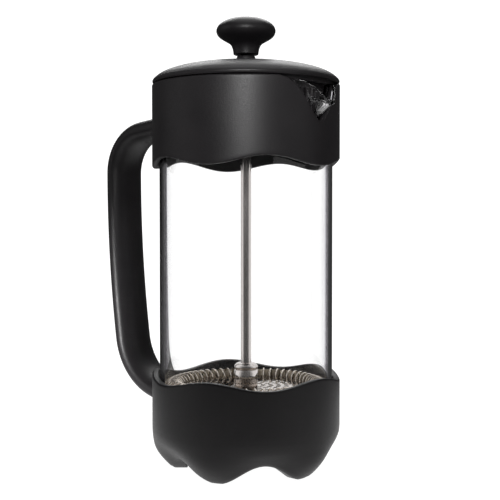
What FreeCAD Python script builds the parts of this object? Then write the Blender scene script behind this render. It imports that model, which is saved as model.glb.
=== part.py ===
"""One-litre french press: a glass beaker in a plastic collar and base joined by one handle.

Millimetres. +Z is up, +X points at the spout, and the handle is on the -X side.
The origin is on the beaker's axis, in the plane that the five feet stand on.
"""
import FreeCAD, Part
import math
import os
from FreeCAD import Vector

# Plastic frame: the base, the collar and the handle between them
BASE_RADIUS = 53.05
BASE_BORE = 49.25
BASE_RIM_Z = 53.5
BASE_RIM_WAVE = 2.1
BASE_FLOOR_Z = 17.0
BASE_FLOOR_THICKNESS = 3.0
BASE_CORNER_RADIUS = 6.5
SKIRT_WALL = 8.0
FOOT_COUNT = 5
ARCH_MEAN_Z = 4.8
ARCH_WAVE = 5.2
# Height, mean radius and lobe height of the base's tapered outside, from the feet up to the straight wall
TAPER = ((0.0, 38.8, 2.4), (3.0, 41.3, 3.4), (6.0, 43.8, 3.9), (10.0, 47.0, 3.7), (14.0, 49.8, 2.5),
         (18.0, 51.8, 1.0), (22.0, BASE_RADIUS, 0.0))
COLLAR_RADIUS = 52.8
COLLAR_BORE = 49.7
COLLAR_TOP_Z = 216.5
COLLAR_EDGE_Z = 172.4
COLLAR_WAVE = 2.4
NOTCH_LOW_Z = 193.6
HANDLE_HALF_THICKNESS = 6.3
HANDLE_HALF_WIDTH = 12.6
HANDLE_SQUARENESS = 2.3
HANDLE_UPPER_CENTRE = (-75.3, 169.75)
HANDLE_UPPER_RADIUS = 25.0
HANDLE_UPPER_SLOPE = 6.6
HANDLE_BOW_RADIUS = 688.0
HANDLE_BOW_DEGREES = 8.2
HANDLE_LEAD = 3.0
HANDLE_LOWER_RADIUS = 35.8
HANDLE_LOWER_DEGREES = 65.0
HANDLE_UPPER_SCREW_Z = 197.0
HANDLE_LOWER_SCREW_Z = 36.2
SCREW_OFFSET_Y = 5.5
SCREW_RADIUS = 2.0
SCREW_HEAD_RADIUS = 3.8
SCREW_HEAD_SINK = 0.6
SCREW_HEAD_DEPTH = 1.2
SCREW_LENGTH = 9.0
INSERT_RADIUS = 3.0
INSERT_LENGTH = 8.0

# Glass beaker
GLASS_RADIUS = 48.7
GLASS_WALL = 2.4
GLASS_BORE = GLASS_RADIUS - GLASS_WALL
GLASS_BOTTOM_Z = 17.3
GLASS_BOTTOM_THICKNESS = 3.0
GLASS_CORNER_RADIUS = 7.0
GLASS_RIM_Z = 214.5
SPOUT_CENTRE_X = 47.0
SPOUT_LIP_Z = 202.4
SPOUT_HALF_WIDTH = 14.8
SPOUT_LIP_POWER = 1.5
# Height, half length and half width of the spout's outside, from its root to above the rim
SPOUT_SECTIONS = ((193.3, 1.9, 1.4), (198.0, 6.6, 5.1), (203.0, 13.3, 9.3), (209.0, 13.4, 12.9),
                  (217.0, 13.4, 16.5))
SPOUT_CHANNEL = ((195.6, 1.0, 0.8), (199.4, 5.0, 3.5), (203.6, 10.9, 7.1), (209.0, 11.0, 10.5),
                 (218.0, 11.0, 14.4))

# Plunger
ROD_RADIUS = 3.0
THREAD_RADIUS = 2.5
RUNNING_CLEARANCE = 0.05
THREAD_CLEARANCE = 0.03
ROD_TOP_SHOULDER_Z = 234.9
ROD_TOP_Z = 245.0
HUB_TOP_Z = 56.3
ROD_BOTTOM_Z = 38.5
NUT_TOP_Z = 60.4
NUT_RADIUS = 6.7
NUT_FOOT_RADIUS = 6.3
HUB_RADIUS = 6.6
KNOB_BOTTOM_Z = 233.75
KNOB_INSERT_RADIUS = 4.5

# Filter stack
PLATE_Z = 46.4
PLATE_THICKNESS = 0.8
PLATE_RADIUS = 42.6
PLATE_HOLE_RADIUS = 1.5
PLATE_HOLE_PITCH = 4.4
COIL_COUNT = 57
COIL_RING_RADIUS = 40.75
COIL_RADIUS = 4.5
COIL_WIRE_RADIUS = 0.42
COIL_CENTRE_Z = PLATE_Z + PLATE_THICKNESS / 2
MESH_THICKNESS = 0.22
MESH_CURL_RADIUS = 4.95
MESH_EDGE_Z = 50.1
CROSS_PLATE_RADIUS = 34.6
CROSS_PLATE_THICKNESS = 1.0
CROSS_RIM_WIDTH = 3.6
CROSS_ARM_HALF_WIDTH = 3.2
CROSS_HUB_RADIUS = 9.5
BOSS_RADIUS = 6.0
BOSS_LENGTH = 7.6

# Lid
LID_EDGE_Z = 217.0
LID_EDGE_RADIUS = 52.6
LID_WALL = 2.6
DOME_BASE_Z = 215.08
DOME_HEIGHT = 13.9
DOME_RADIUS = 53.4
LID_SEAT_Z = 214.8
LID_SEAT_RADIUS = 49.2
LID_SEAT_BORE = 45.9
LID_CEILING_RADIUS = 41.0
LID_BOSS_TOP_Z = 233.0
LID_BOSS_TOP_RADIUS = 5.1
LID_BOSS_FOOT_RADIUS = 7.0
LID_HUB_RADIUS = 8.0
LID_HUB_Z = 214.3
STRAINER_RADIUS = 45.6
STRAINER_WALL = 1.5
STRAINER_LOW_Z = 196.0
STRAINER_TOP_Z = 217.4
STRAINER_SLOTS = 11
STRAINER_SLOT_PITCH_DEGREES = 5.4
STRAINER_FLANGE_BORE = 41.5
STRAINER_FLANGE_THICKNESS = 1.4
BUSHING_RADIUS = 4.1
BUSHING_FLANGE_RADIUS = 7.0
BUSHING_LOW_Z = 212.5
BUSHING_FLANGE_TOP_Z = 214.0
BUSHING_TOP_Z = 228.5

UP = Vector(0, 0, 1)
OUTWARDS = Vector(-1, 0, 0)
ORIGIN = Vector(0, 0, 0)


def tube(inner, outer, low_z, high_z):
    """A plain ring about the Z axis."""
    ring = Part.makeCylinder(outer, high_z - low_z, Vector(0, 0, low_z))
    bore = Part.makeCylinder(inner, high_z - low_z + 2, Vector(0, 0, low_z - 1))
    return ring.cut(bore)


def polygon_edges(points):
    """Straight edges through (r, z) points, in order."""
    vectors = [Vector(r, 0, z) for r, z in points]
    return [Part.makeLine(a, b) for a, b in zip(vectors, vectors[1:])]


def spline_edge(points, start_tangent=None, end_tangent=None):
    """One smooth edge through (r, z) points."""
    curve = Part.BSplineCurve()
    vectors = [Vector(r, 0, z) for r, z in points]
    if start_tangent and end_tangent:
        tangents = [Vector(t[0], 0, t[1]) for t in (start_tangent, end_tangent)]
        curve.interpolate(Points=vectors, InitialTangent=tangents[0], FinalTangent=tangents[1])
    else:
        curve.interpolate(Points=vectors)
    return curve.toShape()


def arc_edge(centre, radius, start_degrees, end_degrees):
    """An arc in the r-z plane."""
    points = []
    for step in range(3):
        angle = math.radians(start_degrees + (end_degrees - start_degrees) * step / 2)
        points.append(Vector(centre[0] + radius * math.cos(angle), 0, centre[1] + radius * math.sin(angle)))
    return Part.Arc(*points).toShape()


def turned(edges):
    """The solid that a closed outline in the r-z plane makes when it turns about Z."""
    face = Part.Face(Part.Wire(Part.__sortEdges__(edges)))
    return face.revolve(ORIGIN, UP, 360)


def closed_spline(points):
    curve = Part.BSplineCurve()
    curve.interpolate(Points=points, PeriodicFlag=True)
    return curve.toShape()


def wavy_cutter(inner, outer, mean_z, wave, height):
    """The space above (or below, with a negative height) an edge that waves five times round."""
    edges = []
    for radius in (inner, outer):
        points = []
        for step in range(60):
            angle = math.radians(6 * step)
            z = mean_z + wave * math.cos(FOOT_COUNT * angle)
            points.append(Vector(radius * math.cos(angle), radius * math.sin(angle), z))
        edges.append(closed_spline(points))
    return Part.makeRuledSurface(edges[0], edges[1]).extrude(Vector(0, 0, height))


def base_profile(z):
    """Mean radius and lobe height of the base's tapered outside at height z."""
    for (low_z, low_radius, low_lobe), (high_z, high_radius, high_lobe) in zip(TAPER, TAPER[1:]):
        if z <= high_z:
            share = (z - low_z) / (high_z - low_z)
            return low_radius + share * (high_radius - low_radius), low_lobe + share * (high_lobe - low_lobe)
    return BASE_RADIUS, 0.0


def lobed_section(z, inset):
    """The five-lobed outline of the base at height z, moved inwards by inset."""
    mean, lobe = base_profile(z)
    points = []
    for step in range(40):
        angle = math.radians(9 * step)
        radius = mean + lobe * math.cos(FOOT_COUNT * angle) - inset
        points.append(Vector(radius * math.cos(angle), radius * math.sin(angle), z))
    return Part.Wire([closed_spline(points)])


def screw_starts(bore, z):
    """Where the countersunk heads of a pair of screws start, just under the surface of a round wall."""
    starts = []
    for side in (-1, 1):
        reach = SCREW_OFFSET_Y - SCREW_HEAD_RADIUS
        face_x = -math.sqrt(bore ** 2 - reach ** 2)
        starts.append(Vector(face_x - SCREW_HEAD_SINK, side * SCREW_OFFSET_Y, z))
    return starts


def screw_seats(bore, z, wall_radius):
    """Countersunk holes through the wall for the pair of screws at height z."""
    seats = []
    for start in screw_starts(bore, z):
        entry = start + Vector(2 * SCREW_HEAD_SINK, 0, 0)
        seats.append(Part.makeCylinder(SCREW_HEAD_RADIUS, 2 * SCREW_HEAD_SINK, entry, OUTWARDS))
        seats.append(Part.makeCone(SCREW_HEAD_RADIUS, SCREW_RADIUS, SCREW_HEAD_DEPTH, start, OUTWARDS))
        seats.append(Part.makeCylinder(SCREW_RADIUS, wall_radius - bore + 3, start, OUTWARDS))
    return seats


def make_base_cup():
    heights = [z for z, _, _ in TAPER]
    body = Part.makeLoft([lobed_section(z, 0) for z in heights + [BASE_RIM_Z + 5]], True, True)
    under_z = BASE_FLOOR_Z - BASE_FLOOR_THICKNESS
    hollow_heights = [-2.0] + [z for z in heights[1:] if z < under_z] + [under_z]
    body = body.cut(Part.makeLoft([lobed_section(z, SKIRT_WALL) for z in hollow_heights], True, True))
    corner = BASE_CORNER_RADIUS
    top_z = BASE_RIM_Z + 6
    edges = polygon_edges([(0, top_z), (0, BASE_FLOOR_Z), (BASE_BORE - corner, BASE_FLOOR_Z)])
    edges.append(arc_edge((BASE_BORE - corner, BASE_FLOOR_Z + corner), corner, -90, 0))
    edges += polygon_edges([(BASE_BORE, BASE_FLOOR_Z + corner), (BASE_BORE, top_z), (0, top_z)])
    body = body.cut(turned(edges))
    body = body.cut(wavy_cutter(44, 58, BASE_RIM_Z, BASE_RIM_WAVE, 12))
    body = body.cut(wavy_cutter(26, 58, ARCH_MEAN_Z, -ARCH_WAVE, -14))
    for seat in screw_seats(BASE_BORE, HANDLE_LOWER_SCREW_Z, BASE_RADIUS):
        body = body.cut(seat)
    return body


def make_collar():
    body = tube(COLLAR_BORE, COLLAR_RADIUS, COLLAR_EDGE_Z - 6, COLLAR_TOP_Z)
    body = body.cut(wavy_cutter(44, 58, COLLAR_EDGE_Z, -COLLAR_WAVE, -14))
    half = [(0, NOTCH_LOW_Z), (3.6, 195.0), (7.0, 199.0), (10.4, 204.1), (13.9, 208.8), (18.6, 213.0),
            (26.5, COLLAR_TOP_Z)]
    outline = [Vector(40, -y, z) for y, z in reversed(half[1:])] + [Vector(40, y, z) for y, z in half]
    curve = Part.BSplineCurve()
    curve.interpolate(Points=outline)
    top = [outline[-1], outline[-1] + Vector(0, 0, 9), outline[0] + Vector(0, 0, 9), outline[0]]
    edges = [curve.toShape()] + [Part.makeLine(a, b) for a, b in zip(top, top[1:])]
    notch = Part.Face(Part.Wire(Part.__sortEdges__(edges))).extrude(Vector(20, 0, 0))
    body = body.cut(notch)
    for seat in screw_seats(COLLAR_BORE, HANDLE_UPPER_SCREW_Z, COLLAR_RADIUS):
        body = body.cut(seat)
    return body


def polar(centre, radius, degrees):
    """A point at an angle on a circle in the XZ plane."""
    angle = math.radians(degrees)
    return centre[0] + radius * math.cos(angle), centre[1] + radius * math.sin(angle)


def handle_path():
    """The grip's centre line in the XZ plane: straight ends, two bends and a gentle bow between them."""
    upper, slope = HANDLE_UPPER_CENTRE, HANDLE_UPPER_SLOPE
    tangent = polar(upper, HANDLE_UPPER_RADIUS, 90 + slope)
    collar_x = -(COLLAR_BORE - 2)
    start = (collar_x, tangent[1] + (collar_x - tangent[0]) * math.tan(math.radians(slope)))
    edges = polygon_edges([start, tangent])
    edges.append(arc_edge(upper, HANDLE_UPPER_RADIUS, 90 + slope, 180))
    bow_centre = (upper[0] - HANDLE_UPPER_RADIUS + HANDLE_BOW_RADIUS, upper[1])
    bow_end_degrees = 180 + HANDLE_BOW_DEGREES
    edges.append(arc_edge(bow_centre, HANDLE_BOW_RADIUS, 180, bow_end_degrees))
    bow_end = polar(bow_centre, HANDLE_BOW_RADIUS, bow_end_degrees)
    bend_start = polar(bow_end, HANDLE_LEAD, bow_end_degrees + 90)
    edges += polygon_edges([bow_end, bend_start])
    bend_centre = polar(bend_start, HANDLE_LOWER_RADIUS, HANDLE_BOW_DEGREES)
    end_degrees = bow_end_degrees + HANDLE_LOWER_DEGREES
    edges.append(arc_edge(bend_centre, HANDLE_LOWER_RADIUS, bow_end_degrees, end_degrees))
    bend_end = polar(bend_centre, HANDLE_LOWER_RADIUS, end_degrees)
    fall = math.tan(math.radians(end_degrees + 90))
    base_x = -(BASE_BORE - 2)
    edges += polygon_edges([bend_end, (base_x, bend_end[1] + (base_x - bend_end[0]) * fall)])
    return Part.Wire(edges)


def make_handle():
    path = handle_path()
    first = path.Edges[0]
    start = first.valueAt(first.FirstParameter)
    along = first.tangentAt(first.FirstParameter)
    across = along.cross(Vector(0, 1, 0))
    points = []
    for step in range(24):
        angle = math.radians(15 * step)
        cosine, sine = math.cos(angle), math.sin(angle)
        span = abs(cosine) ** HANDLE_SQUARENESS + abs(sine) ** HANDLE_SQUARENESS
        reach = span ** (-1 / HANDLE_SQUARENESS)
        offset = across * (HANDLE_HALF_THICKNESS * reach * cosine)
        points.append(start + offset + Vector(0, HANDLE_HALF_WIDTH * reach * sine, 0))
    grip = path.makePipeShell([Part.Wire([closed_spline(points)])], True, False)
    grip = grip.cut(Part.makeCylinder(COLLAR_RADIUS, 80, Vector(0, 0, 150)))
    grip = grip.cut(Part.makeCylinder(BASE_RADIUS, 80, Vector(0, 0, 0)))
    for wall_radius, z in ((COLLAR_RADIUS, HANDLE_UPPER_SCREW_Z), (BASE_RADIUS, HANDLE_LOWER_SCREW_Z)):
        for side in (-1, 1):
            start = Vector(2.0 - wall_radius, side * SCREW_OFFSET_Y, z)
            grip = grip.cut(Part.makeCylinder(INSERT_RADIUS, INSERT_LENGTH + 2.0, start, OUTWARDS))
    return grip


def make_screws(bore, z):
    """Two countersunk screws through the wall into the inserts."""
    screws = []
    for start in screw_starts(bore, z):
        head = Part.makeCone(SCREW_HEAD_RADIUS, SCREW_RADIUS, SCREW_HEAD_DEPTH, start, OUTWARDS)
        shank = Part.makeCylinder(SCREW_RADIUS, SCREW_LENGTH, start, OUTWARDS)
        screws.append(head.fuse(shank).removeSplitter())
    return Part.makeCompound(screws)


def make_inserts(outer, z):
    """Two threaded inserts in the end of the handle."""
    inserts = []
    for side in (-1, 1):
        start = Vector(-outer, side * SCREW_OFFSET_Y, z)
        body = Part.makeCylinder(INSERT_RADIUS, INSERT_LENGTH, start, OUTWARDS)
        bore = Part.makeCylinder(SCREW_RADIUS, INSERT_LENGTH + 2, start + Vector(1, 0, 0), OUTWARDS)
        inserts.append(body.cut(bore))
    return Part.makeCompound(inserts)


def spout_loft(sections):
    """The flared spout, from level oval sections that all have the same centre."""
    wires = []
    for z, half_length, half_width in sections:
        points = []
        for step in range(16):
            angle = math.pi * step / 8
            x = SPOUT_CENTRE_X + half_length * math.cos(angle)
            points.append(Vector(x, half_width * math.sin(angle), z))
        wires.append(Part.Wire([closed_spline(points)]))
    return Part.makeLoft(wires, True, True)


def rim_dip():
    """Everything above the U-shaped rim of the spout."""
    rise = GLASS_RIM_Z - SPOUT_LIP_Z
    outline = []
    for step in range(-6, 7):
        share = step / 6
        z = SPOUT_LIP_Z + rise * math.sin(math.pi / 2 * abs(share)) ** SPOUT_LIP_POWER
        outline.append(Vector(30, share * SPOUT_HALF_WIDTH, z))
    curve = Part.BSplineCurve()
    curve.interpolate(Points=outline)
    top_z = 260
    top = [outline[-1], Vector(30, SPOUT_HALF_WIDTH, top_z), Vector(30, -SPOUT_HALF_WIDTH, top_z), outline[0]]
    edges = [curve.toShape()] + [Part.makeLine(a, b) for a, b in zip(top, top[1:])]
    return Part.Face(Part.Wire(Part.__sortEdges__(edges))).extrude(Vector(70, 0, 0))


def make_beaker():
    corner = GLASS_CORNER_RADIUS
    edges = polygon_edges([(0, GLASS_RIM_Z), (0, GLASS_BOTTOM_Z), (GLASS_RADIUS - corner, GLASS_BOTTOM_Z)])
    edges.append(arc_edge((GLASS_RADIUS - corner, GLASS_BOTTOM_Z + corner), corner, -90, 0))
    edges += polygon_edges([(GLASS_RADIUS, GLASS_BOTTOM_Z + corner), (GLASS_RADIUS, GLASS_RIM_Z),
                            (0, GLASS_RIM_Z)])
    outside = turned(edges).fuse(spout_loft(SPOUT_SECTIONS))
    inner_corner = corner - GLASS_WALL
    floor_z = GLASS_BOTTOM_Z + GLASS_BOTTOM_THICKNESS
    top_z = GLASS_RIM_Z + 5
    edges = polygon_edges([(0, top_z), (0, floor_z), (GLASS_BORE - inner_corner, floor_z)])
    edges.append(arc_edge((GLASS_BORE - inner_corner, floor_z + inner_corner), inner_corner, -90, 0))
    edges += polygon_edges([(GLASS_BORE, floor_z + inner_corner), (GLASS_BORE, top_z), (0, top_z)])
    inside = turned(edges).fuse(spout_loft(SPOUT_CHANNEL))
    above = Part.makeBox(300, 300, 100, Vector(-150, -150, GLASS_RIM_Z))
    return outside.cut(inside).cut(rim_dip()).cut(above)


def dome_z(radius):
    """Height of the lid's outside at a distance from its axis."""
    return DOME_BASE_Z + DOME_HEIGHT * (1 - (radius / DOME_RADIUS) ** 2.514) ** (1 / 2.343)


def make_lid_cover():
    outside = [(r, dome_z(r)) for r in (LID_BOSS_FOOT_RADIUS, 14, 22, 30, 37, 43, 47, 50.2)]
    edge_points = [outside[-1], (51.9, 219.8), (LID_EDGE_RADIUS, 218.4), (52.0, LID_EDGE_Z)]
    ceiling = [(r, dome_z(r) - LID_WALL) for r in (LID_HUB_RADIUS, 16, 24, 32, 38, LID_CEILING_RADIUS)]
    edges = polygon_edges([(ROD_RADIUS + 0.4, LID_BOSS_TOP_Z), (LID_BOSS_TOP_RADIUS, LID_BOSS_TOP_Z)])
    edges.append(spline_edge([(LID_BOSS_TOP_RADIUS, LID_BOSS_TOP_Z), (5.5, 231.0), outside[0]]))
    edges.append(spline_edge(outside))
    edges.append(spline_edge(edge_points))
    edges += polygon_edges([edge_points[-1], (LID_SEAT_RADIUS, LID_EDGE_Z), (LID_SEAT_RADIUS, LID_SEAT_Z),
                            (LID_SEAT_BORE, LID_SEAT_Z), (LID_SEAT_BORE, STRAINER_TOP_Z),
                            (LID_CEILING_RADIUS, STRAINER_TOP_Z), ceiling[-1]])
    edges.append(spline_edge(list(reversed(ceiling))))
    bore = BUSHING_RADIUS + RUNNING_CLEARANCE
    edges += polygon_edges([ceiling[0], (LID_HUB_RADIUS, LID_HUB_Z), (bore, LID_HUB_Z),
                            (bore, BUSHING_TOP_Z + 0.3), (ROD_RADIUS + 0.4, BUSHING_TOP_Z + 0.3),
                            (ROD_RADIUS + 0.4, LID_BOSS_TOP_Z)])
    return turned(edges)


def make_lid_strainer():
    inner = STRAINER_RADIUS - STRAINER_WALL
    body = tube(inner, STRAINER_RADIUS, STRAINER_LOW_Z, STRAINER_TOP_Z)
    flange_z = STRAINER_TOP_Z - STRAINER_FLANGE_THICKNESS
    body = body.fuse(tube(STRAINER_FLANGE_BORE, STRAINER_RADIUS, flange_z, STRAINER_TOP_Z)).removeSplitter()
    for side in (0, 180):
        for step in range(STRAINER_SLOTS):
            slot = Part.makeBox(12, 2.0, 12.0, Vector(38, -1.0, 200.0))
            slot.rotate(ORIGIN, UP, side + STRAINER_SLOT_PITCH_DEGREES * (step - (STRAINER_SLOTS - 1) / 2))
            body = body.cut(slot)
    return body


def make_rod_bushing():
    bore = ROD_RADIUS + RUNNING_CLEARANCE
    sleeve = tube(bore, BUSHING_RADIUS, BUSHING_LOW_Z, BUSHING_TOP_Z)
    flange = tube(bore, BUSHING_FLANGE_RADIUS, BUSHING_LOW_Z, BUSHING_FLANGE_TOP_Z)
    return sleeve.fuse(flange).removeSplitter()


def make_knob():
    side = [(0, 254.5), (8.2, 253.9), (13.6, 251.7), (16.1, 249.0), (16.7, 247.0), (16.0, 244.6),
            (13.2, 242.2), (9.2, 239.9), (7.5, 237.2), (7.15, 235.2), (6.8, KNOB_BOTTOM_Z)]
    bore = ROD_RADIUS + 0.1
    edges = [spline_edge(side, (1, 0), (-0.3, -1))]
    edges += polygon_edges([side[-1], (bore, KNOB_BOTTOM_Z), (bore, 235.0), (KNOB_INSERT_RADIUS, 235.0),
                            (KNOB_INSERT_RADIUS, 246.0), (0, 246.0), side[0]])
    return turned(edges)


def make_knob_insert():
    return tube(THREAD_RADIUS + THREAD_CLEARANCE, KNOB_INSERT_RADIUS, 235.0, 246.0)


def make_plunger_rod():
    outline = [(0, ROD_BOTTOM_Z), (THREAD_RADIUS - 0.4, ROD_BOTTOM_Z), (THREAD_RADIUS, ROD_BOTTOM_Z + 0.4),
               (THREAD_RADIUS, HUB_TOP_Z + 0.1), (ROD_RADIUS, HUB_TOP_Z + 0.1),
               (ROD_RADIUS, ROD_TOP_SHOULDER_Z), (THREAD_RADIUS, ROD_TOP_SHOULDER_Z),
               (THREAD_RADIUS, ROD_TOP_Z - 0.4), (THREAD_RADIUS - 0.4, ROD_TOP_Z), (0, ROD_TOP_Z),
               (0, ROD_BOTTOM_Z)]
    return turned(polygon_edges(outline))


def make_flange_nut():
    """A round nut with a domed top."""
    bore = ROD_RADIUS + THREAD_CLEARANCE
    dome = [(4.0, NUT_TOP_Z), (5.6, NUT_TOP_Z - 1.0), (NUT_RADIUS, NUT_TOP_Z - 2.6),
            (NUT_FOOT_RADIUS, NUT_TOP_Z - 3.5)]
    edges = polygon_edges([(bore, NUT_TOP_Z), dome[0]])
    edges.append(spline_edge(dome))
    edges += polygon_edges([dome[-1], (NUT_FOOT_RADIUS, HUB_TOP_Z), (bore, HUB_TOP_Z), (bore, NUT_TOP_Z)])
    return turned(edges)


def make_hub_sleeve():
    return tube(THREAD_RADIUS + THREAD_CLEARANCE, HUB_RADIUS, PLATE_Z + PLATE_THICKNESS, HUB_TOP_Z)


def hole_rings():
    """Radius and hole count of each ring of holes in the spiral plate, from the coil's ring inwards."""
    rings = [(COIL_RING_RADIUS - COIL_RADIUS, COIL_COUNT)]
    radius = rings[0][0] - PLATE_HOLE_PITCH
    while radius > HUB_RADIUS + PLATE_HOLE_RADIUS + 1.5:
        rings.append((radius, round(2 * math.pi * radius / PLATE_HOLE_PITCH)))
        radius -= PLATE_HOLE_PITCH
    return rings


def circle_wire(radius, x, y, z):
    return Part.Wire([Part.makeCircle(radius, Vector(x, y, z), UP)])


def plate_with_holes(outer, z, thickness, holes):
    face = Part.makeFace([circle_wire(outer, 0, 0, z)] + holes, "Part::FaceMakerBullseye")
    return face.extrude(Vector(0, 0, thickness))


def make_spiral_plate():
    holes = [circle_wire(THREAD_RADIUS + THREAD_CLEARANCE, 0, 0, PLATE_Z)]
    for radius, count in hole_rings():
        for step in range(count):
            angle = 2 * math.pi * step / count
            x, y = radius * math.cos(angle), radius * math.sin(angle)
            holes.append(circle_wire(PLATE_HOLE_RADIUS, x, y, PLATE_Z))
    return plate_with_holes(PLATE_RADIUS, PLATE_Z, PLATE_THICKNESS, holes)


def make_edge_spring():
    """The coil laced round the plate's edge, as one closed wire ring for each of its turns."""
    turns = []
    for step in range(COIL_COUNT):
        angle = 2 * math.pi * step / COIL_COUNT
        centre = Vector(COIL_RING_RADIUS * math.cos(angle), COIL_RING_RADIUS * math.sin(angle), COIL_CENTRE_Z)
        axis = Vector(-math.sin(angle), math.cos(angle), 0)
        turns.append(Part.makeTorus(COIL_RADIUS, COIL_WIRE_RADIUS, centre, axis))
    return Part.makeCompound(turns)


def make_filter_mesh():
    """A dished disc of mesh: flat under the plate, curled under the coil and up beside the glass."""
    top_z = PLATE_Z - 0.05
    inner = MESH_CURL_RADIUS
    outer = inner + MESH_THICKNESS
    centre = (COIL_RING_RADIUS, COIL_CENTRE_Z)
    bore = THREAD_RADIUS + THREAD_CLEARANCE
    start_inner = 180 + math.degrees(math.asin((centre[1] - top_z) / inner))
    start_outer = 180 + math.degrees(math.asin((centre[1] - top_z + MESH_THICKNESS) / outer))
    join_inner = centre[0] + inner * math.cos(math.radians(start_inner))
    join_outer = centre[0] + outer * math.cos(math.radians(start_outer))
    edges = polygon_edges([(bore, top_z), (join_inner, top_z)])
    edges.append(arc_edge(centre, inner, start_inner, 360))
    edges += polygon_edges([(centre[0] + inner, centre[1]), (centre[0] + inner, MESH_EDGE_Z),
                            (centre[0] + outer, MESH_EDGE_Z), (centre[0] + outer, centre[1])])
    edges.append(arc_edge(centre, outer, 360, start_outer))
    low_z = top_z - MESH_THICKNESS
    edges += polygon_edges([(join_outer, low_z), (bore, low_z), (bore, top_z)])
    return turned(edges)


def cross_opening(quarter, z):
    """One of the four openings between the arms of the cross plate."""
    outer = CROSS_PLATE_RADIUS - CROSS_RIM_WIDTH
    corners = []
    for radius in (CROSS_HUB_RADIUS, outer):
        lean = math.asin(CROSS_ARM_HALF_WIDTH / radius)
        corners.append([(radius, lean), (radius, math.pi / 4), (radius, math.pi / 2 - lean)])
    place = [[Vector(r * math.cos(a + quarter), r * math.sin(a + quarter), z) for r, a in side]
             for side in corners]
    edges = [Part.Arc(*place[0]).toShape(), Part.makeLine(place[0][2], place[1][2]),
             Part.Arc(*reversed(place[1])).toShape(), Part.makeLine(place[1][0], place[0][0])]
    return Part.Wire(edges)


def cross_plate_z():
    return PLATE_Z - 0.05 - MESH_THICKNESS - CROSS_PLATE_THICKNESS


def make_cross_plate():
    z = cross_plate_z()
    holes = [circle_wire(THREAD_RADIUS + THREAD_CLEARANCE, 0, 0, z)]
    holes += [cross_opening(i * math.pi / 2, z) for i in range(4)]
    return plate_with_holes(CROSS_PLATE_RADIUS, z, CROSS_PLATE_THICKNESS, holes)


def make_cross_plate_boss():
    top_z = cross_plate_z()
    return tube(THREAD_RADIUS + THREAD_CLEARANCE, BOSS_RADIUS, top_z - BOSS_LENGTH, top_z)


def main():
    nodes = {
        "base_cup": make_base_cup(),
        "collar": make_collar(),
        "handle": make_handle(),
        "collar_screws": make_screws(COLLAR_BORE, HANDLE_UPPER_SCREW_Z),
        "base_screws": make_screws(BASE_BORE, HANDLE_LOWER_SCREW_Z),
        "collar_inserts": make_inserts(COLLAR_RADIUS, HANDLE_UPPER_SCREW_Z),
        "base_inserts": make_inserts(BASE_RADIUS, HANDLE_LOWER_SCREW_Z),
        "beaker": make_beaker(),
        "lid_cover": make_lid_cover(),
        "lid_strainer": make_lid_strainer(),
        "rod_bushing": make_rod_bushing(),
        "knob": make_knob(),
        "knob_insert": make_knob_insert(),
        "plunger_rod": make_plunger_rod(),
        "flange_nut": make_flange_nut(),
        "hub_sleeve": make_hub_sleeve(),
        "spiral_plate": make_spiral_plate(),
        "edge_spring": make_edge_spring(),
        "filter_mesh": make_filter_mesh(),
        "cross_plate": make_cross_plate(),
        "cross_plate_boss": make_cross_plate_boss(),
    }
    os.makedirs("parts", exist_ok=True)
    for name, shape in nodes.items():
        box = shape.BoundBox
        print(f"{name}: {shape.isValid()} solids {len(shape.Solids)} volume {shape.Volume:.0f} "
              f"x {box.XMin:.1f}..{box.XMax:.1f} y {box.YMin:.1f}..{box.YMax:.1f} "
              f"z {box.ZMin:.1f}..{box.ZMax:.1f}")
        shape.exportStep(f"parts/{name}.step")


main()
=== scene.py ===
import math

import bpy
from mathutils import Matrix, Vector


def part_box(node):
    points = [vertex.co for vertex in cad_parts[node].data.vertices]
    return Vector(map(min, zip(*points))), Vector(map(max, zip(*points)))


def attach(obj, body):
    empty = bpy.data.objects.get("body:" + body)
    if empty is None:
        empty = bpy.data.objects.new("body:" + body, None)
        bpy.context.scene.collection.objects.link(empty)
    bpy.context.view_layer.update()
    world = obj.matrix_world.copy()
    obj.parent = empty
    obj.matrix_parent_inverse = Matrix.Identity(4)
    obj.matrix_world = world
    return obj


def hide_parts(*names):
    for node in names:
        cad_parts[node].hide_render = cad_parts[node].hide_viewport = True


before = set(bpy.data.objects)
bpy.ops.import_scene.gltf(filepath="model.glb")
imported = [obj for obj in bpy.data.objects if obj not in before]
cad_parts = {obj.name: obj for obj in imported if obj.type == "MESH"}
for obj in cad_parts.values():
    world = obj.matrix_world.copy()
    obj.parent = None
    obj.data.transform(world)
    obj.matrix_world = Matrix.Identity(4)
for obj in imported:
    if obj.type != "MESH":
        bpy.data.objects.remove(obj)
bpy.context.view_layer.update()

MM = 0.001

# Sizes in millimetres and angles in degrees. Some come from the boxes of the frame's nodes
COLLAR_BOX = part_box("collar")
BEAKER_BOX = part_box("beaker")
HANDLE_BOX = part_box("handle")

FEET = 5
EDGE_ROUNDING = 0.9
COLLAR_OUTER = COLLAR_BOX[1][1] / MM
COLLAR_INNER = 49.7
COLLAR_TOP = COLLAR_BOX[1][2] / MM
COLLAR_EDGE = 172.4
COLLAR_WAVE = 2.4
NOTCH_LOW = 193.6
BASE_OUTER = 53.05
BASE_INNER = 49.25
BASE_RIM = 53.5
BASE_RIM_WAVE = 2.1
BASE_STRAIGHT_FROM = 26.0
ARCH_MEAN = 4.8
ARCH_WAVE = 5.2
BASE_FLOOR = 17.0
BASE_UNDERSIDE = 14.0
BASE_SKIRT_WALL = 8.0
GLASS_OUTER = 48.7
GLASS_WALL = 2.4
GLASS_BOTTOM = BEAKER_BOX[0][2] / MM
GLASS_RIM = BEAKER_BOX[1][2] / MM
HANDLE_HALF_THICKNESS = 6.3
HANDLE_HALF_WIDTH = HANDLE_BOX[1][1] / MM
HANDLE_SQUARENESS = 2.3
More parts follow.
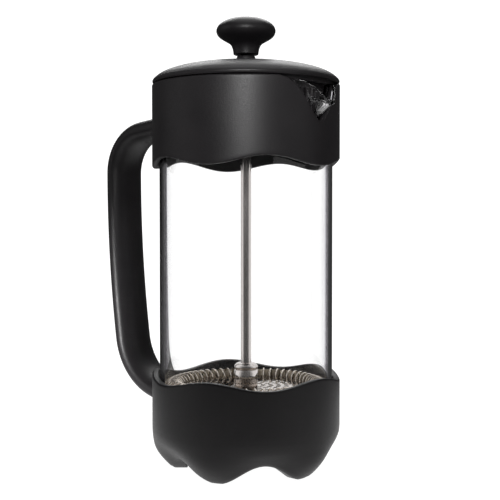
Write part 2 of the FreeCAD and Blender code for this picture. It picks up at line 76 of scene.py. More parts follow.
# The handle's middle line: a short slope, an upper bend, a long bow, a lead and a lower bend
HANDLE_UPPER_CENTRE = (-75.3, 169.75)
HANDLE_UPPER_RADIUS = 25.0
HANDLE_UPPER_SLOPE = 6.6
HANDLE_BOW_RADIUS = 688.0
HANDLE_BOW_DEGREES = 8.2
HANDLE_LEAD = 3.0
HANDLE_LOWER_RADIUS = 35.8
HANDLE_LOWER_DEGREES = 65.0
HANDLE_SUNK = 2.5
SPOUT_ROOT = 193.0
SPOUT_LIP = 201.8
SPOUT_REACH = 11.2
SPOUT_RIM_DEGREES = 17.7
ROD_RADIUS = 3.0
THREAD_RADIUS = 2.5


def link(obj):
    """Puts an object in the scene."""
    bpy.context.scene.collection.objects.link(obj)
    return obj


def mesh_object(name, verts, faces):
    """A smooth-shaded mesh piece from points in millimetres."""
    mesh = bpy.data.meshes.new(name)
    mesh.from_pydata([Vector(v) * MM for v in verts], [], faces)
    mesh.validate()
    mesh.shade_smooth()
    return link(bpy.data.objects.new(name, mesh))


def ring_grid(name, angles, column):
    """A piece that goes all the way round the Z axis.

    column(angle) gives its section's (r, z) points: a loop, or a line that starts and ends on the axis.
    """
    verts, faces = [], []
    columns = [column(a) for a in angles]
    size = len(columns[0])
    closed = columns[0][0][0] > 1e-6
    inner = range(size) if closed else range(1, size - 1)
    for angle, points in zip(angles, columns):
        for k in inner:
            r, z = points[k]
            verts.append((r * math.cos(angle), r * math.sin(angle), z))
    rows, count = len(inner), len(angles)
    for i in range(count):
        j = (i + 1) % count
        for k in range(rows if closed else rows - 1):
            m = (k + 1) % rows
            faces.append((i * rows + k, j * rows + k, j * rows + m, i * rows + m))
    if not closed:
        for end, k in ((0, 0), (size - 1, rows - 1)):
            verts.append((0, 0, columns[0][end][1]))
            tip = len(verts) - 1
            for i in range(count):
                j = (i + 1) % count
                pair = (j * rows + k, i * rows + k)
                faces.append((tip,) + (pair if end == 0 else pair[::-1]))
    return mesh_object(name, verts, faces)


def even_angles(count):
    """Angles evenly spaced round the axis."""
    return [2 * math.pi * i / count for i in range(count)]


def angles_dense_at_spout(count, dense_degrees, dense_count):
    """Angles round the axis, closer together either side of the spout at angle 0."""
    edge = math.radians(dense_degrees)
    near = [-edge + 2 * edge * i / dense_count for i in range(dense_count)]
    far = [edge + (2 * math.pi - 2 * edge) * i / count for i in range(count)]
    return near + far


def arc(centre, radius, start, end, steps):
    """Points on an arc in the r-z plane, in degrees."""
    points = []
    for i in range(steps + 1):
        a = math.radians(start + (end - start) * i / steps)
        points.append((centre[0] + radius * math.cos(a), centre[1] + radius * math.sin(a)))
    return points


def line(a, b, steps):
    """Points from a towards b, without b."""
    return [(a[0] + (b[0] - a[0]) * i / steps, a[1] + (b[1] - a[1]) * i / steps) for i in range(steps)]


def smooth_curve(points, steps):
    """A Catmull-Rom curve through (r, z) points."""
    out = []
    for i in range(len(points) - 1):
        p = [points[max(i - 1, 0)], points[i], points[i + 1], points[min(i + 2, len(points) - 1)]]
        for s in range(steps):
            t = s / steps
            out.append(tuple(0.5 * (2 * p[1][k] + (p[2][k] - p[0][k]) * t
                                    + (2 * p[0][k] - 5 * p[1][k] + 4 * p[2][k] - p[3][k]) * t * t
                                    + (3 * p[1][k] - p[0][k] - 3 * p[2][k] + p[3][k]) * t ** 3)
                             for k in range(2)))
    out.append(points[-1])
    return out


def wrapped(angle):
    """The angle between -180 and 180 degrees, in radians."""
    return (angle + math.pi) % (2 * math.pi) - math.pi


def interpolate(x, xs, ys):
    """Value at x on straight lines through the points, flat beyond their ends."""
    if x <= xs[0]:
        return ys[0]
    for a, b, c, d in zip(xs, xs[1:], ys, ys[1:]):
        if x <= b:
            return c + (d - c) * (x - a) / (b - a)
    return ys[-1]


def curve_at(x, xs, ys):
    """Value at x of a smooth curve through the points, flat beyond its ends."""
    if x <= xs[0] or x >= xs[-1]:
        return ys[0] if x <= xs[0] else ys[-1]
    i = max(k for k in range(len(xs) - 1) if xs[k] <= x)
    step = xs[i + 1] - xs[i]

    def slope(k):
        before, after = max(k - 1, 0), min(k + 1, len(xs) - 1)
        return (ys[after] - ys[before]) / (xs[after] - xs[before])

    t = (x - xs[i]) / step
    m0, m1 = slope(i) * step, slope(i + 1) * step
    return ((2 * t ** 3 - 3 * t ** 2 + 1) * ys[i] + (t ** 3 - 2 * t ** 2 + t) * m0
            + (3 * t ** 2 - 2 * t ** 3) * ys[i + 1] + (t ** 3 - t ** 2) * m1)


# ---------------------------------------------------------------- materials

def new_material(name):
    """A material with its node tree, links and main shader."""
    material = bpy.data.materials.new(name)
    material.use_nodes = True
    nodes = material.node_tree.nodes
    return material, nodes, material.node_tree.links, nodes["Principled BSDF"]


def noise(nodes, links, scale, detail=2.0, coordinates=None):
    """Noise fixed to the object, as a 0-1 value."""
    texture = nodes.new("ShaderNodeTexNoise")
    texture.inputs["Scale"].default_value = scale
    texture.inputs["Detail"].default_value = detail
    if coordinates is None:
        coordinates = nodes.new("ShaderNodeTexCoord").outputs["Object"]
    links.new(coordinates, texture.inputs["Vector"])
    return texture.outputs["Fac"]


def ramp(nodes, links, source, low, high, start=0.3, end=0.7):
    """Maps a 0-1 source to a range between two numbers or two colours."""
    node = nodes.new("ShaderNodeMapRange") if isinstance(low, float) else nodes.new("ShaderNodeValToRGB")
    if isinstance(low, float):
        node.inputs["From Min"].default_value = start
        node.inputs["From Max"].default_value = end
        node.inputs["To Min"].default_value = low
        node.inputs["To Max"].default_value = high
        links.new(source, node.inputs["Value"])
        return node.outputs["Result"]
    node.color_ramp.elements[0].position = start
    node.color_ramp.elements[0].color = (*low, 1)
    node.color_ramp.elements[1].position = end
    node.color_ramp.elements[1].color = (*high, 1)
    links.new(source, node.inputs["Fac"])
    return node.outputs["Color"]


def add_bump(nodes, links, shader, height, distance, strength):
    """Relief from a 0-1 height, with its depth in metres."""
    bump = nodes.new("ShaderNodeBump")
    bump.inputs["Strength"].default_value = strength
    bump.inputs["Distance"].default_value = distance
    links.new(height, bump.inputs["Height"])
    links.new(bump.outputs["Normal"], shader.inputs["Normal"])


def black_plastic():
    """Satin polypropylene with a fine moulded grain."""
    material, nodes, links, shader = new_material("black_plastic")
    cloud = noise(nodes, links, 55.0, 4.0)
    grain = noise(nodes, links, 1500.0, 3.0)
    links.new(ramp(nodes, links, cloud, (0.0042, 0.0036, 0.0042), (0.0064, 0.0056, 0.0062)),
              shader.inputs["Base Color"])
    links.new(ramp(nodes, links, grain, 0.40, 0.50), shader.inputs["Roughness"])
    shader.inputs["Specular IOR Level"].default_value = 0.22
    add_bump(nodes, links, shader, grain, 0.00012, 0.5)
    return material


def glass():
    """Clear borosilicate with painted shade, darker where its wall is seen edge-on, that lets lamps through
    to what it holds.
    """
    material, nodes, links, shader = new_material("beaker_glass")
    # Painted shade: the colour darkens where the wall is seen edge-on, in place of the dark edges that the
    # glass's reflections give
    facing = nodes.new("ShaderNodeLayerWeight")
    facing.inputs["Blend"].default_value = 0.5
    painted_edge_shade = nodes.new("ShaderNodeValToRGB")
    # From face-on at 0 to edge-on at 1
    stops = ((0.0, (1.0, 1.0, 1.0)), (0.60, (1.0, 1.0, 1.0)), (0.70, (0.92, 0.91, 0.94)),
             (0.75, (0.50, 0.48, 0.53)), (0.785, (0.13, 0.12, 0.14)), (0.83, (0.09, 0.085, 0.095)),
             (0.90, (0.13, 0.12, 0.13)), (1.0, (0.50, 0.48, 0.52)))
    while len(painted_edge_shade.color_ramp.elements) < len(stops):
        painted_edge_shade.color_ramp.elements.new(0.5)
    for element, (position, colour) in zip(painted_edge_shade.color_ramp.elements, stops):
        element.position = position
        element.color = (*colour, 1)
    links.new(facing.outputs["Facing"], painted_edge_shade.inputs["Fac"])
    links.new(painted_edge_shade.outputs["Color"], shader.inputs["Base Color"])
    shader.inputs["Transmission Weight"].default_value = 1.0
    shader.inputs["IOR"].default_value = 1.47
    shader.inputs["Roughness"].default_value = 0.0
    ripple = noise(nodes, links, 22.0, 1.0)
    add_bump(nodes, links, shader, ripple, 0.00012, 0.35)
    # Shadow rays pass through with a slight loss, so that the filter inside is lit
    clear = nodes.new("ShaderNodeBsdfTransparent")
    clear.inputs["Color"].default_value = (0.94, 0.95, 0.95, 1)
    path = nodes.new("ShaderNodeLightPath")
    mix = nodes.new("ShaderNodeMixShader")
    links.new(path.outputs["Is Shadow Ray"], mix.inputs["Fac"])
    links.new(shader.outputs["BSDF"], mix.inputs[1])
    links.new(clear.outputs["BSDF"], mix.inputs[2])
    links.new(mix.outputs["Shader"], nodes["Material Output"].inputs["Surface"])
    return material


def steel(name, colour, rough_low, rough_high, streak=(900.0, 900.0, 12.0), bump=0.00002):
    """Bright metal with fine streaks, which run along the axis where streak is smallest."""
    material, nodes, links, shader = new_material(name)
    shader.inputs["Metallic"].default_value = 1.0
    mapping = nodes.new("ShaderNodeMapping")
    mapping.inputs["Scale"].default_value = streak
    coordinates = nodes.new("ShaderNodeTexCoord")
    links.new(coordinates.outputs["Object"], mapping.inputs["Vector"])
    lines = noise(nodes, links, 1.0, 3.0, mapping.outputs["Vector"])
    darker = tuple(0.86 * c for c in colour)
    links.new(ramp(nodes, links, lines, darker, colour), shader.inputs["Base Color"])
    links.new(ramp(nodes, links, lines, rough_low, rough_high), shader.inputs["Roughness"])
    add_bump(nodes, links, shader, lines, bump, 0.4)
    return material


def woven_mesh():
    """Fine stainless weave, as ripples in the sheet along the three axes, with painted shade in its low
    parts.
    """
    material, nodes, links, shader = new_material("mesh_steel")
    shader.inputs["Metallic"].default_value = 1.0
    coordinates = nodes.new("ShaderNodeTexCoord")
    heights = []
    for direction in ("X", "Y", "Z"):
        wave = nodes.new("ShaderNodeTexWave")
        wave.wave_type = "BANDS"
        wave.bands_direction = direction
        wave.inputs["Scale"].default_value = 700.0
        links.new(coordinates.outputs["Object"], wave.inputs["Vector"])
        heights.append(wave.outputs["Fac"])
    level = nodes.new("ShaderNodeMath")
    level.operation = "MULTIPLY"
    links.new(heights[0], level.inputs[0])
    links.new(heights[1], level.inputs[1])
    highest = nodes.new("ShaderNodeMath")
    highest.operation = "MAXIMUM"
    links.new(level.outputs["Value"], highest.inputs[0])
    links.new(heights[2], highest.inputs[1])
    weave = highest.outputs["Value"]
    # Painted shade: the low parts of the weave get the dark colour, in place of the shade seen through the
    # gaps between the wires
    links.new(ramp(nodes, links, weave, (0.16, 0.12, 0.08), (0.62, 0.54, 0.43), 0.1, 0.8),
              shader.inputs["Base Color"])
    links.new(ramp(nodes, links, weave, 0.5, 0.28, 0.0, 1.0), shader.inputs["Roughness"])
    add_bump(nodes, links, shader, weave, 0.0001, 0.8)
    return material


def bushing_plastic():
    """Dark matt plastic with a fine grain."""
    colour = (0.05, 0.05, 0.052)
    material, nodes, links, shader = new_material("bushing_plastic")
    cloud = noise(nodes, links, 80.0, 3.0)
    darker = tuple(0.9 * c for c in colour)
    links.new(ramp(nodes, links, cloud, darker, colour), shader.inputs["Base Color"])
    links.new(ramp(nodes, links, cloud, 0.35, 0.45), shader.inputs["Roughness"])
    add_bump(nodes, links, shader, noise(nodes, links, 1800.0), 0.00004, 0.4)
    return material


def floor_material():
    """White paper that stays white all over, but is dim where it is mirrored inside the glass."""
    material, nodes, links, shader = new_material("pale_floor")
    cloud = noise(nodes, links, 3.0, 2.0)
    links.new(ramp(nodes, links, cloud, (0.20, 0.20, 0.20), (0.23, 0.23, 0.23)),
              shader.inputs["Base Color"])
    shader.inputs["Roughness"].default_value = 0.7
    shader.inputs["Specular IOR Level"].default_value = 0.1
    shader.inputs["Emission Color"].default_value = (1.0, 1.0, 1.0, 1)
    path = nodes.new("ShaderNodeLightPath")
    mirrored_inside = nodes.new("ShaderNodeMath")
    mirrored_inside.operation = "MULTIPLY"
    links.new(path.outputs["Transmission Depth"], mirrored_inside.inputs[0])
    links.new(path.outputs["Glossy Depth"], mirrored_inside.inputs[1])
    strength = nodes.new("ShaderNodeMapRange")
    for name, value in (("From Min", 0.0), ("From Max", 1.0), ("To Min", 1.0), ("To Max", 0.04)):
        strength.inputs[name].default_value = value
    links.new(mirrored_inside.outputs["Value"], strength.inputs["Value"])
    links.new(strength.outputs["Result"], shader.inputs["Emission Strength"])
    return material


PLASTIC = black_plastic()
GLASS = glass()
ROD_STEEL = steel("rod_steel", (0.72, 0.68, 0.66), 0.10, 0.17)
PLATE_STEEL = steel("plate_steel", (0.50, 0.44, 0.39), 0.04, 0.09, (60.0, 900.0, 900.0))
SPRING_STEEL = steel("spring_steel", (0.88, 0.81, 0.73), 0.06, 0.10, (400.0, 400.0, 400.0))
SCREW_STEEL = steel("screw_steel", (0.55, 0.55, 0.56), 0.25, 0.35, (500.0, 500.0, 500.0))
MESH_STEEL = woven_mesh()
BRASS = steel("insert_brass", (0.78, 0.58, 0.28), 0.25, 0.4, (700.0, 700.0, 700.0), 0.00003)
BUSHING = bushing_plastic()


def finish_piece(obj, material, body, slot, *nodes):
    """Gives a rebuilt piece its material and body, and hides the CAD nodes that it stands for. The slot is
    not used.
    """
    obj.data.materials.append(material)
    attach(obj, body)
    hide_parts(*nodes)
    return obj


# ---------------------------------------------------------------- plastic frame

def notch_z(y):
    """Height of the collar's V-shaped notch at a distance from the middle plane."""
    half = (0, 1.2, 3.6, 7.0, 10.4, 13.9, 18.6, 22.5, 26.5)
    heights = (NOTCH_LOW, 193.85, 195.6, 199.3, 204.3, 208.8, 213.2, 215.4, COLLAR_TOP)
    return interpolate(abs(y), half, heights)


def collar_column(angle):
    """The collar's wall at one angle: a loop with rounded edges."""
    lower = COLLAR_EDGE - COLLAR_WAVE * math.cos(FEET * angle)
    turn = wrapped(angle)
    upper = COLLAR_TOP
    if abs(turn) < math.radians(40):
        # The mean over a narrow stretch rounds the notch's corners
        near = [turn + math.radians(degrees) for degrees in (-0.9, -0.45, 0, 0.45, 0.9)]
        upper = sum(notch_z(COLLAR_OUTER * math.sin(a)) for a in near) / len(near)
    edge = EDGE_ROUNDING
    points = line((COLLAR_OUTER, lower + edge), (COLLAR_OUTER, upper - edge), 30)
    points += arc((COLLAR_OUTER - edge, upper - edge), edge, 0, 90, 5)
    points += arc((COLLAR_INNER + edge, upper - edge), edge, 90, 180, 5)
    points += line((COLLAR_INNER, upper - edge), (COLLAR_INNER, lower + edge), 30)
    points += arc((COLLAR_INNER + edge, lower + edge), edge, 180, 270, 5)
    points += arc((COLLAR_OUTER - edge, lower + edge), edge, 270, 360, 5)[:-1]
    return points


def make_collar():
    """The band round the glass, with closer points at the notch."""
    angles = angles_dense_at_spout(240, 36, 160)
    obj = ring_grid("collar_shell", angles, collar_column)
    return finish_piece(obj, PLASTIC, "frame", "black_plastic", "collar")


def foot_radius(z, angle):
    """Radius of the base's outside below its straight wall."""
    heights = (0.0, 3.0, 6.0, 10.0, 14.0, 18.0, 22.0, BASE_STRAIGHT_FROM)
    radii = (38.8, 41.3, 43.8, 47.0, 49.8, 51.8, 52.8, BASE_OUTER)
    lobes = (2.4, 3.4, 3.9, 3.7, 2.5, 1.0, 0.2, 0.0)
    return curve_at(z, heights, radii) + curve_at(z, heights, lobes) * math.cos(FEET * angle)


def base_column(angle):
    """The base cup's section at one angle, from its floor on the axis to its underside on the axis."""
    rim = BASE_RIM + BASE_RIM_WAVE * math.cos(FEET * angle)
    arch = max(0.0, ARCH_MEAN - ARCH_WAVE * math.cos(FEET * angle))
    edge, corner, floor, wall = EDGE_ROUNDING, 6.5, BASE_FLOOR, BASE_SKIRT_WALL
    points = [(0, floor)] + line((6, floor), (BASE_INNER - corner, floor), 6)
    points += arc((BASE_INNER - corner, floor + corner), corner, -90, 0, 8)
    points += line((BASE_INNER, floor + corner + 1), (BASE_INNER, rim - edge), 16)
    points += arc((BASE_INNER + edge, rim - edge), edge, 180, 90, 5)
    points += arc((BASE_OUTER - edge, rim - edge), edge, 90, 0, 5)
    points += line((BASE_OUTER, rim - edge - 0.5), (BASE_OUTER, BASE_STRAIGHT_FROM), 14)
    low = arch + 1.2
    outside = [BASE_STRAIGHT_FROM + (low - BASE_STRAIGHT_FROM) * i / 22 for i in range(23)]
    points += [(foot_radius(z, angle), z) for z in outside]
    # Small roundings along the foot's two lower edges
    bottom = foot_radius(arch, angle)
    points += [(bottom - 0.15, arch + 0.45), (bottom - 0.7, arch + 0.08), (bottom - 1.6, arch)]
    points += [(bottom - wall + 0.6, arch), (bottom - wall + 0.1, arch + 0.3)]
    under = BASE_UNDERSIDE
    inside = [arch + (under - arch) * i / 6 for i in range(1, 7)]
    points += [(foot_radius(z, angle) - wall, z) for z in inside]
    points += line((foot_radius(under, angle) - wall - 2, under), (4, under), 5) + [(0, under)]
    return points


def make_base():
    """The cup that the glass stands in."""
    obj = ring_grid("base_shell", even_angles(300), base_column)
    return finish_piece(obj, PLASTIC, "frame", "black_plastic", "base_cup")


def handle_centre_line():
    """Points along the grip's middle in the XZ plane, from the collar to the base."""
    centre, radius, slope = HANDLE_UPPER_CENTRE, HANDLE_UPPER_RADIUS, math.radians(HANDLE_UPPER_SLOPE)
    tangent = (centre[0] - radius * math.sin(slope), centre[1] + radius * math.cos(slope))
    start_x = -(COLLAR_OUTER - HANDLE_SUNK)
    start = (start_x, tangent[1] + (start_x - tangent[0]) * math.tan(slope))
    points = line(start, tangent, 10)
    points += arc(centre, radius, 90 + HANDLE_UPPER_SLOPE, 180, 22)
    bow_centre = (centre[0] - radius + HANDLE_BOW_RADIUS, centre[1])
    bow_end = 180 + HANDLE_BOW_DEGREES
    points += arc(bow_centre, HANDLE_BOW_RADIUS, 180, bow_end, 30)[1:]
    down = (math.sin(math.radians(HANDLE_BOW_DEGREES)), -math.cos(math.radians(HANDLE_BOW_DEGREES)))
    bend_start = (points[-1][0] + HANDLE_LEAD * down[0], points[-1][1] + HANDLE_LEAD * down[1])
    bend = HANDLE_LOWER_RADIUS
    bend_centre = (bend_start[0] - bend * down[1], bend_start[1] + bend * down[0])
    points += line(points[-1], bend_start, 3)[1:]
    points += arc(bend_centre, bend, bow_end, bow_end + HANDLE_LOWER_DEGREES, 24)
    last, before = points[-1], points[-2]
    fall = (last[1] - before[1]) / (last[0] - before[0])
    end_x = -(BASE_OUTER - HANDLE_SUNK)
    end = (end_x, last[1] + (end_x - last[0]) * fall)
    return points + line(last, end, 10)[1:] + [end]


def make_handle():
    """A swept grip with a rounded-square section, its ends shaped to the collar and the base."""
    route = handle_centre_line()
    around = 48
    verts, faces = [], []
    for i, (x, z) in enumerate(route):
        before, after = route[max(i - 1, 0)], route[min(i + 1, len(route) - 1)]
        dx, dz = after[0] - before[0], after[1] - before[1]
        length = math.hypot(dx, dz)
        normal = (-dz / length, dx / length)
        for k in range(around):
            a = 2 * math.pi * k / around
            span = abs(math.cos(a)) ** HANDLE_SQUARENESS + abs(math.sin(a)) ** HANDLE_SQUARENESS
            reach = span ** (-1 / HANDLE_SQUARENESS)
            offset = HANDLE_HALF_THICKNESS * reach * math.cos(a)
            point = [x + normal[0] * offset, HANDLE_HALF_WIDTH * reach * math.sin(a), z + normal[1] * offset]
            for end, outer in ((0, COLLAR_OUTER), (len(route) - 1, BASE_OUTER)):
                if i == end:
                    point[0] = -math.sqrt((outer - 0.05) ** 2 - point[1] ** 2)
            verts.append(tuple(point))
    for i in range(len(route) - 1):
        for k in range(around):
            m = (k + 1) % around
            faces.append((i * around + k, i * around + m, (i + 1) * around + m, (i + 1) * around + k))
    faces.append(tuple(range(around))[::-1])
    last = (len(route) - 1) * around
    faces.append(tuple(range(last, last + around)))
    obj = mesh_object("handle_grip", verts, faces)
    return finish_piece(obj, PLASTIC, "frame", "black_plastic", "handle")


# ---------------------------------------------------------------- glass

def spout_bulge(z, angle):
    """How far the spout stands out from the straight glass wall. It widens and deepens with height."""
    turn = math.degrees(abs(wrapped(angle)))
    width = interpolate(z, (SPOUT_ROOT, 198.0, 203.0, 209.6, 214.5), (3.0, 6.4, 10.9, 15.2, 18.0))
    if turn >= width or z <= SPOUT_ROOT:
        return 0.0
    rise = min((z - SPOUT_ROOT) / 9.6, 1.0)
    reach = SPOUT_REACH * rise ** 1.35
    across = turn / width
    # Bell-shaped low down and fuller above
    if z < 203:
        return reach * (1 - across ** 2) ** 2 * (1 + 1.6 * across ** 2)
    return reach * (1 - across ** 2.6) ** 1.1


def rim_z(angle):
    """Height of the glass's rim, which dips to the spout's lip."""
    turn = math.degrees(abs(wrapped(angle)))
    share = min(math.sqrt(turn ** 2 + 0.8) / SPOUT_RIM_DEGREES, 1.0)
    return SPOUT_LIP + (GLASS_RIM - SPOUT_LIP) * math.sin(math.pi / 2 * share) ** 1.1


def beaker_column(angle):
    """The glass wall at one angle: outside up to the rim, over it and down the inside."""
    corner, straight_to = 7.0, 190.0
    half = GLASS_WALL / 2
    top = rim_z(angle)
    outer = line((6, GLASS_BOTTOM), (GLASS_OUTER - corner, GLASS_BOTTOM), 5)
    outer += arc((GLASS_OUTER - corner, GLASS_BOTTOM + corner), corner, -90, 0, 8)
    outer += line((GLASS_OUTER, GLASS_BOTTOM + corner + 3), (GLASS_OUTER, straight_to), 24)
    for i in range(31):
        z = straight_to + (top - half - straight_to) * i / 30
        outer.append((GLASS_OUTER + spout_bulge(z, angle), z))
    inner = []
    for i, (r, z) in enumerate(outer):
        before, after = outer[max(i - 1, 0)], outer[min(i + 1, len(outer) - 1)]
        dr, dz = after[0] - before[0], after[1] - before[1]
        length = math.hypot(dr, dz)
        inner.append((r - GLASS_WALL * dz / length, z + GLASS_WALL * dr / length))
    last = outer[-1]
    far = inner[-1]
    centre = ((last[0] + far[0]) / 2, (last[1] + far[1]) / 2)
    lean = math.degrees(math.atan2(last[1] - far[1], last[0] - far[0]))
    crown = arc(centre, half, lean, lean + 180, 8)[1:-1]
    return [(0, GLASS_BOTTOM)] + outer + crown + inner[::-1] + [(0, GLASS_BOTTOM + GLASS_WALL)]


def make_beaker():
    """The glass, with closer points at the spout."""
    angles = angles_dense_at_spout(200, 24, 120)
    obj = ring_grid("beaker_glass_wall", angles, beaker_column)
    return finish_piece(obj, GLASS, "glass", "beaker_glass", "beaker")


# ---------------------------------------------------------------- lid and knob

def dome_z(radius):
    """Height of the lid's outside at a distance from its axis: a fuller curve than an ellipse."""
    foot, height, reach = 215.08, 13.9, 53.4
    return foot + height * (1 - (radius / reach) ** 2.514) ** (1 / 2.343)


def make_lid():
    """The lid's dome, its boss, its rounded edge and the seat under it."""
    hole, bore, thickness = 3.4, 4.15, 2.6
    points = [(hole, 232.7), (hole + 0.3, 233.0), (4.6, 233.0)]
    points += smooth_curve([(4.95, 232.9), (5.25, 232.2), (5.6, 230.8), (6.2, 229.6), (7.6, dome_z(7.6))], 4)
    points += [(r, dome_z(r)) for r in (9, 12, 16, 20, 24, 28, 32, 36, 39, 42, 44.5, 46.5, 48.3, 49.8)]
    points += smooth_curve([(50.8, 220.6), (51.8, 219.7), (52.45, 218.8), (52.55, 218.1), (52.2, 217.3),
                            (51.6, 217.02), (50.6, 217.0)], 4)
    points += [(49.3, 217.0), (49.2, 216.8), (49.2, 215.0), (49.0, 214.8), (46.1, 214.8), (45.9, 215.0)]
    points += [(45.9, 217.4), (41.0, 217.4)]
    points += [(r, dome_z(r) - thickness) for r in (41, 38, 34, 30, 25, 20, 15, 10, 8)]
    points += [(8.0, 214.6), (7.7, 214.3), (4.4, 214.3), (bore, 214.6), (bore, 228.8), (hole, 228.8)]
    points += line((hole, 229.2), (hole, 232.4), 3)
    obj = ring_grid("lid_dome", even_angles(200), lambda angle: points)
    return finish_piece(obj, PLASTIC, "lid", "black_plastic", "lid_cover")


def make_knob():
    """The knob: its cap, its waist, and the bore for the threaded insert."""
    cap = [(0, 254.5), (4.4, 254.36), (8.2, 253.85), (11.6, 252.75), (13.9, 251.45), (15.5, 250.0),
           (16.4, 248.5), (16.7, 247.0), (16.5, 245.9), (15.9, 244.6), (14.8, 243.4)]
    waist = [(13.1, 242.25), (11.1, 241.1), (9.3, 240.0), (8.25, 238.8), (7.6, 237.3), (7.25, 235.8),
             (7.1, 234.7), (7.0, 234.0), (6.6, 233.75)]
    bore = [(3.4, 233.75), (3.1, 234.0), (3.1, 235.0), (3.1, 246.0), (0, 246.0)]
    points = smooth_curve(cap + waist, 4) + bore
    obj = ring_grid("knob_turned", even_angles(96), lambda angle: points)
    return finish_piece(obj, PLASTIC, "knob_and_filter", "black_plastic", "knob")


# ---------------------------------------------------------------- plunger and filter

def make_rod():
    """The rod, stepped down to a threaded end above and below."""
    points = [(0, 38.5), (2.2, 38.5), (THREAD_RADIUS, 38.9), (THREAD_RADIUS, 56.4), (ROD_RADIUS, 56.5)]
    points += line((ROD_RADIUS, 57.0), (ROD_RADIUS, 234.5), 12)
    points += [(ROD_RADIUS, 234.9), (THREAD_RADIUS, 235.0), (THREAD_RADIUS, 244.6)]
    points += [(2.1, 245.0), (0, 245.0)]
    obj = ring_grid("rod_drawn", even_angles(64), lambda angle: points)
    return finish_piece(obj, ROD_STEEL, "rod", "rod_steel", "plunger_rod")


def make_nut():
    """The domed nut that clamps the filter."""
    top, low = 60.4, 56.3
    points = [(3.05, top - 0.2), (3.3, top), (4.0, top - 0.02)]
    points += smooth_curve([(4.2, top - 0.05), (5.5, top - 0.6), (6.4, top - 1.6), (6.68, top - 2.5),
                            (6.6, top - 3.1), (6.3, top - 3.5)], 5)
    points += [(6.25, low + 0.15), (6.1, low), (3.3, low), (3.05, low + 0.3)]
    obj = ring_grid("flange_nut_domed", even_angles(96), lambda angle: points)
    return finish_piece(obj, ROD_STEEL, "knob_and_filter", "rod_steel", "flange_nut")


def make_hub():
    """The sleeve between the nut and the filter plate."""
    points = [(2.56, 47.4), (2.56, 56.1), (2.8, 56.3), (6.3, 56.3), (6.6, 56.0), (6.6, 52.0), (6.6, 47.5),
              (6.4, 47.2), (2.8, 47.2)]
    obj = ring_grid("hub_sleeve_turned", even_angles(96), lambda angle: points)
    return finish_piece(obj, ROD_STEEL, "knob_and_filter", "rod_steel", "hub_sleeve")


# COIL_RING is the radius of the circle that the coil follows, and COIL_RADIUS that of one turn
COIL_TURNS = 57
COIL_RING = 40.75
COIL_RADIUS = 4.5
COIL_CENTRE = 46.8
WIRE_RADIUS = 0.42


def make_spring():
    """The coil laced round the plate as one closed helix of wire."""
    curve = bpy.data.curves.new("edge_coil", "CURVE")
    curve.dimensions = "3D"
    curve.bevel_depth = WIRE_RADIUS * MM
    curve.bevel_resolution = 3
    per_turn = 20
    spline = curve.splines.new("POLY")
    count = COIL_TURNS * per_turn
    spline.points.add(count - 1)
    for i in range(count):
        round_axis = 2 * math.pi * i / count
        twist = COIL_TURNS * round_axis
        r = COIL_RING - COIL_RADIUS * math.cos(twist)
        z = COIL_CENTRE + COIL_RADIUS * math.sin(twist)
        spline.points[i].co = (r * math.cos(round_axis) * MM, r * math.sin(round_axis) * MM, z * MM, 1)
    spline.use_cyclic_u = True
    spline.use_smooth = True
    source = link(bpy.data.objects.new("edge_coil_line", curve))
    bpy.context.view_layer.update()
    mesh = bpy.data.meshes.new_from_object(source.evaluated_get(bpy.context.evaluated_depsgraph_get()))
    mesh.materials.clear()
    mesh.shade_smooth()
    obj = link(bpy.data.objects.new("edge_coil_wire", mesh))
    bpy.data.objects.remove(source)
    return finish_piece(obj, SPRING_STEEL, "knob_and_filter", "spring_steel", "edge_spring")


def make_mesh():
    """The dished mesh disc with its turned-up edge."""
    hole, edge = 2.6, 50.1
    inner, thick, top = 4.95, 0.22, 46.35
    start = 180 + math.degrees(math.asin((COIL_CENTRE - top) / inner))
    toward_axis = math.cos(math.radians(start))
    upper = line((hole, top), (COIL_RING + inner * toward_axis, top), 8)
    upper += arc((COIL_RING, COIL_CENTRE), inner, start, 360, 24)
    upper.append((COIL_RING + inner, edge))
    lower = [(COIL_RING + inner + thick, edge)]
    lower += arc((COIL_RING, COIL_CENTRE), inner + thick, 360, start + 3, 24)
    lower += line((COIL_RING + (inner + thick) * toward_axis, top - thick), (hole, top - thick), 8)
    lower.append((hole, top - thick))
    points = upper + lower
    obj = ring_grid("filter_mesh_dish", even_angles(180), lambda angle: points)
    return finish_piece(obj, MESH_STEEL, "knob_and_filter", "mesh_steel", "filter_mesh")


def dress_cad_nodes():
    """Materials for the CAD nodes that stay as they are."""
    looks = {
        "lid_strainer": PLASTIC, "rod_bushing": BUSHING, "knob_insert": BRASS, "collar_inserts": BRASS,
        "base_inserts": BRASS, "collar_screws": SCREW_STEEL, "base_screws": SCREW_STEEL,
        "spiral_plate": PLATE_STEEL, "cross_plate": PLATE_STEEL, "cross_plate_boss": ROD_STEEL,
    }
    for name, material in looks.items():
        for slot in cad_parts[name].material_slots:
            slot.material = material


# ---------------------------------------------------------------- stage

# The camera was fitted to the photo's outlines
VIEW_DEGREES = 40.52
CAMERA_PLACE = (0.3993, -0.4637, 0.1423)
CAMERA_TILT = 1.72
CAMERA_DIRECTION = (0.65, -0.76, 0.0)
FOCAL = 77.88
FLOOR_RADIUS = 0.30
LAMP_TARGET = (0, 0, 0.13)
SEEN_STRENGTH = 1.25
MIRRORED_STRENGTH = 0.06

# Name, place, size and power, in metres and watts
PANELS = (
    ("panel_left", (-0.75, -0.85, 0.45), (0.9, 1.1), 2.1),
    ("panel_right", (0.95, 0.15, 0.45), (0.9, 1.1), 2.0),
    ("rim_behind", (-0.60, 0.70, 0.95), (0.8, 0.5), 7),
    ("top", (0, 0.1, 1.3), (1.0, 1.0), 5),
)

# Name, place, target, angle and power
SPOTS = (
    ("collar_spot", (0.34, -0.42, 0.36), (0.0, 0.0, 0.188), 19, 18.0),
    ("handle_spot", (-0.08, -0.46, 0.04), (-0.103, 0.0, 0.072), 19, 26.0),
)


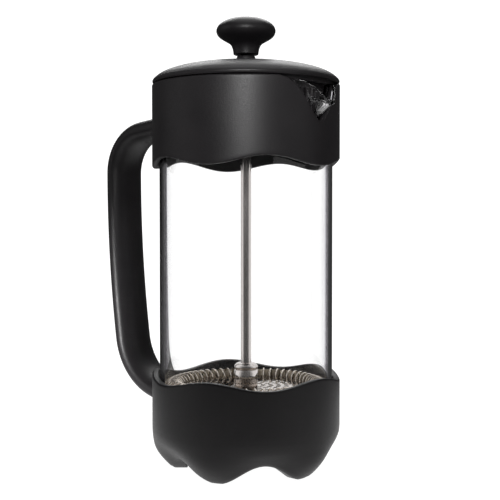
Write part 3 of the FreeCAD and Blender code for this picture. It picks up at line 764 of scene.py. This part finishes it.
def make_camera():
    """The photo's camera."""
    data = bpy.data.cameras.new("camera")
    data.lens = FOCAL
    data.sensor_width = 36
    data.clip_start = 0.01
    camera = link(bpy.data.objects.new("camera", data))
    camera.location = CAMERA_PLACE
    camera.rotation_euler = (math.radians(90 - CAMERA_TILT), 0, math.radians(VIEW_DEGREES))
    bpy.context.scene.camera = camera


def place_light(name, data, place, target):
    """Puts a lamp in the scene, aimed at target. It is not seen through glass."""
    light = link(bpy.data.objects.new(name, data))
    light.visible_transmission = False
    light.location = place
    light.rotation_euler = (Vector(target) - Vector(place)).to_track_quat("-Z", "Y").to_euler()


def area_light(name, place, target, size, power):
    """A soft panel."""
    data = bpy.data.lights.new(name, "AREA")
    data.shape = "RECTANGLE"
    data.size, data.size_y = size
    data.energy = power
    place_light(name, data, place, target)


def spot_light(name, place, target, degrees, power):
    """A narrow lamp with a soft edge."""
    data = bpy.data.lights.new(name, "SPOT")
    data.energy = power
    data.spot_size = math.radians(degrees)
    data.spot_blend = 0.9
    data.shadow_soft_size = 0.03
    place_light(name, data, place, target)


def make_surroundings():
    """White behind everything, and dim in what mirrors it.

    Metal that is seen through the glass mirrors it brighter, except toward the camera.
    """
    world = bpy.data.worlds.new("studio")
    bpy.context.scene.world = world
    world.use_nodes = True
    nodes, links = world.node_tree.nodes, world.node_tree.links

    def math_node(operation, first, second):
        node = nodes.new("ShaderNodeMath")
        node.operation = operation
        for socket, value in zip(node.inputs, (first, second)):
            if isinstance(value, float):
                socket.default_value = value
            else:
                links.new(value, socket)
        return node.outputs["Value"]

    path = nodes.new("ShaderNodeLightPath").outputs
    bounces = math_node("ADD", path["Glossy Depth"], path["Diffuse Depth"])
    direct = math_node("LESS_THAN", bounces, 0.5)
    # A ray that goes in to the metal and out again passes four surfaces of the glass
    through_glass = math_node("GREATER_THAN", path["Transmission Depth"], 3.5)
    toward_camera = nodes.new("ShaderNodeVectorMath")
    toward_camera.operation = "DOT_PRODUCT"
    toward_camera.inputs[1].default_value = CAMERA_DIRECTION
    links.new(nodes.new("ShaderNodeTexCoord").outputs["Generated"], toward_camera.inputs[0])
    side = nodes.new("ShaderNodeMapRange")
    for name, value in (("From Min", 0.75), ("From Max", 0.10), ("To Min", 0.04), ("To Max", 0.95)):
        side.inputs[name].default_value = value
    links.new(toward_camera.outputs["Value"], side.inputs["Value"])
    inside = math_node("MULTIPLY", side.outputs["Result"], through_glass)
    dim = math_node("ADD", inside, MIRRORED_STRENGTH)
    seen = math_node("MULTIPLY", direct, SEEN_STRENGTH)
    links.new(math_node("MAXIMUM", dim, seen), nodes["Background"].inputs["Strength"])
    nodes["Background"].inputs["Color"].default_value = (1, 1, 1, 1)


def make_stage():
    """The floor disc, the surroundings and the lamps."""
    mesh = bpy.data.meshes.new("floor")
    rim = [(FLOOR_RADIUS * math.cos(a), FLOOR_RADIUS * math.sin(a), 0) for a in even_angles(96)]
    mesh.from_pydata(rim, [], [tuple(range(len(rim)))])
    mesh.materials.append(floor_material())
    link(bpy.data.objects.new("floor", mesh))
    make_surroundings()
    for name, place, size, power in PANELS:
        area_light(name, place, LAMP_TARGET, size, power)
    for name, place, target, degrees, power in SPOTS:
        spot_light(name, place, target, degrees, power)
    bpy.context.scene.view_settings.view_transform = "Standard"


make_collar()
make_base()
make_handle()
make_beaker()
make_lid()
make_knob()
make_rod()
make_nut()
make_hub()
make_spring()
make_mesh()
dress_cad_nodes()
make_camera()
make_stage()
